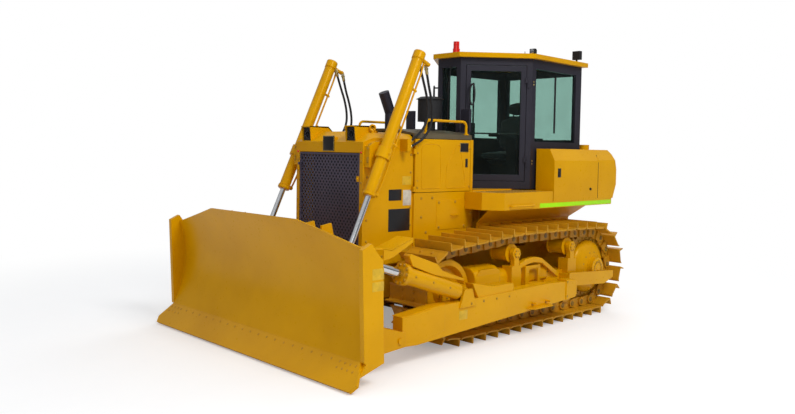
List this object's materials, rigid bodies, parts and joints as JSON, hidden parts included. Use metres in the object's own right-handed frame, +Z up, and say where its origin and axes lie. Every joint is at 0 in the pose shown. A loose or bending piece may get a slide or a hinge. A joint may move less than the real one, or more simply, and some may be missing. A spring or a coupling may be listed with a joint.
{
  "type": "crawler bulldozer",
  "caption": "Crawler bulldozer with a straight tilt blade on push arms, lift and tilt cylinders, glazed cab with two doors, and fixed tracks.",
  "frame": {"origin": "on the ground under the middle of the whole machine", "axes": "+X forward towards the blade, +Y to the machine's left, +Z up"},
  "size_m": [5.75, 3.724, 3.5856],
  "materials": {
    "chrome": "polished",
    "dark_paint": "satin dark grey paint",
    "fabric": "dark grey cloth",
    "glass": "clear with a light green tint",
    "hood_paint": "satin grey-brown paint",
    "iron": "painted and rubbed",
    "paint": "gloss machine paint",
    "plastic": "matt black",
    "red_lens": "red lens"
  },
  "bodies": {
    "machine": {"main_frame": "paint", "transmission_case": "paint", "drawbar": "paint", "equalizer_bar": "paint", "final_drives": "paint", "sprockets": "iron", "idlers": "paint", "track_rollers": "iron", "carrier_rollers": "paint", "track_left": "iron", "track_right": "iron", "track_frame_left": "paint", "track_frame_right": "paint", "nose_guard": "paint", "radiator": "dark_paint", "engine_block": "dark_paint", "hood_top": "hood_paint", "lower_covers": "paint", "exhaust_pipe": "dark_paint", "precleaner": "plastic", "cab_base": "paint", "cab_frame": "dark_paint", "cab_glass": "glass", "cab_roof": "paint", "seat": "fabric", "controls": "plastic", "fuel_tank": "paint", "handrails": "paint", "lamps": "plastic", "beacon": "red_lens", "mirrors": "dark_paint", "platform_left": "paint", "platform_right": "paint", "side_box_left": "paint", "side_box_right": "paint"},
    "push_arm_left": {"push_arm_left": "paint"},
    "blade": {"blade": "paint", "cutting_edge": "paint", "push_arm_right": "paint", "brace": "paint"},
    "lift_cylinder_left": {"lift_cylinder_left": "paint"},
    "lift_cylinder_right": {"lift_cylinder_right": "paint"},
    "lift_rod_left": {"lift_rod_left": "chrome"},
    "lift_rod_right": {"lift_rod_right": "chrome"},
    "tilt_cylinder": {"tilt_cylinder": "paint"},
    "tilt_rod": {"tilt_rod": "chrome"},
    "cab_door_left": {"cab_door_left": "dark_paint", "door_glass_left": "glass"},
    "cab_door_right": {"cab_door_right": "dark_paint", "door_glass_right": "glass"},
    "engine_door_left": {"engine_door_left": "paint"},
    "engine_door_right": {"engine_door_right": "paint"},
    "grille_door": {"grille_door": "dark_paint"}
  },
  "joints": [
    {"name": "blade_lift", "type": "hinge", "parent": "machine", "child": "push_arm_left", "pos_m": [-0.92, 1.44, 0.48], "axis": [0, -1, 0], "range_deg": [-8, 18]},
    {"name": "blade_tilt", "type": "hinge", "parent": "push_arm_left", "child": "blade", "pos_m": [2.015, 1.44, 0.297], "axis": [-0.7131, -0.6997, 0.0445], "range_deg": [-8, 8]},
    {"name": "lift_swivel_left", "type": "hinge", "parent": "machine", "child": "lift_cylinder_left", "pos_m": [1.565, 0.777, 2.11], "axis": [0, -1, 0], "range_deg": [-7.09, 15.34]},
    {"name": "lift_stroke_left", "type": "slide", "parent": "lift_cylinder_left", "child": "lift_rod_left", "axis": [0.4186, 0, -0.9081], "range_m": [-0.93406, 0.41792]},
    {"name": "lift_swivel_right", "type": "hinge", "parent": "machine", "child": "lift_cylinder_right", "pos_m": [1.565, -0.777, 2.11], "axis": [0, -1, 0], "range_deg": [-7.09, 15.34]},
    {"name": "lift_stroke_right", "type": "slide", "parent": "lift_cylinder_right", "child": "lift_rod_right", "axis": [0.4186, 0, -0.9081], "range_m": [-0.93406, 0.41792]},
    {"name": "tilt_swivel", "type": "hinge", "parent": "push_arm_left", "child": "tilt_cylinder", "pos_m": [0.995, 1.44, 0.64], "axis": [-0.2554, -0.5447, 0.7988], "range_deg": [-4.05, 4.05]},
    {"name": "tilt_stroke", "type": "slide", "parent": "tilt_cylinder", "child": "tilt_rod", "axis": [0.9525, 0, 0.3045], "range_m": [-0.06526, 0.06526]},
    {"name": "cab_door_left_hinge", "type": "hinge", "parent": "machine", "child": "cab_door_left", "pos_m": [-0.92944, 0.75999, 2.4], "axis": [0, 0, 1], "range_deg": [0, 95]},
    {"name": "engine_door_left_hinge", "type": "hinge", "parent": "machine", "child": "engine_door_left", "pos_m": [0.94, 0.632, 1.965], "axis": [0, 0, -1], "range_deg": [0, 90]},
    {"name": "cab_door_right_hinge", "type": "hinge", "parent": "machine", "child": "cab_door_right", "pos_m": [-0.92944, -0.75999, 2.4], "axis": [0, 0, -1], "range_deg": [0, 95]},
    {"name": "engine_door_right_hinge", "type": "hinge", "parent": "machine", "child": "engine_door_right", "pos_m": [0.94, -0.632, 1.965], "axis": [0, 0, 1], "range_deg": [0, 90]},
    {"name": "grille_door_hinge", "type": "hinge", "parent": "machine", "child": "grille_door", "pos_m": [1.717, -0.545, 1.565], "axis": [0, 0, 1], "range_deg": [-40, 0]}
  ],
  "couplings": [
    {"joint": "lift_swivel_left", "follows": "blade_lift", "ratio": 0.8243},
    {"joint": "lift_stroke_left", "follows": "blade_lift", "m_per_rad": -2.9573},
    {"joint": "lift_swivel_right", "follows": "blade_lift", "ratio": 0.8243},
    {"joint": "lift_stroke_right", "follows": "blade_lift", "m_per_rad": -2.9573},
    {"joint": "tilt_swivel", "follows": "blade_tilt", "ratio": 0.4808},
    {"joint": "tilt_stroke", "follows": "blade_tilt", "m_per_rad": -0.4459}
  ]
}
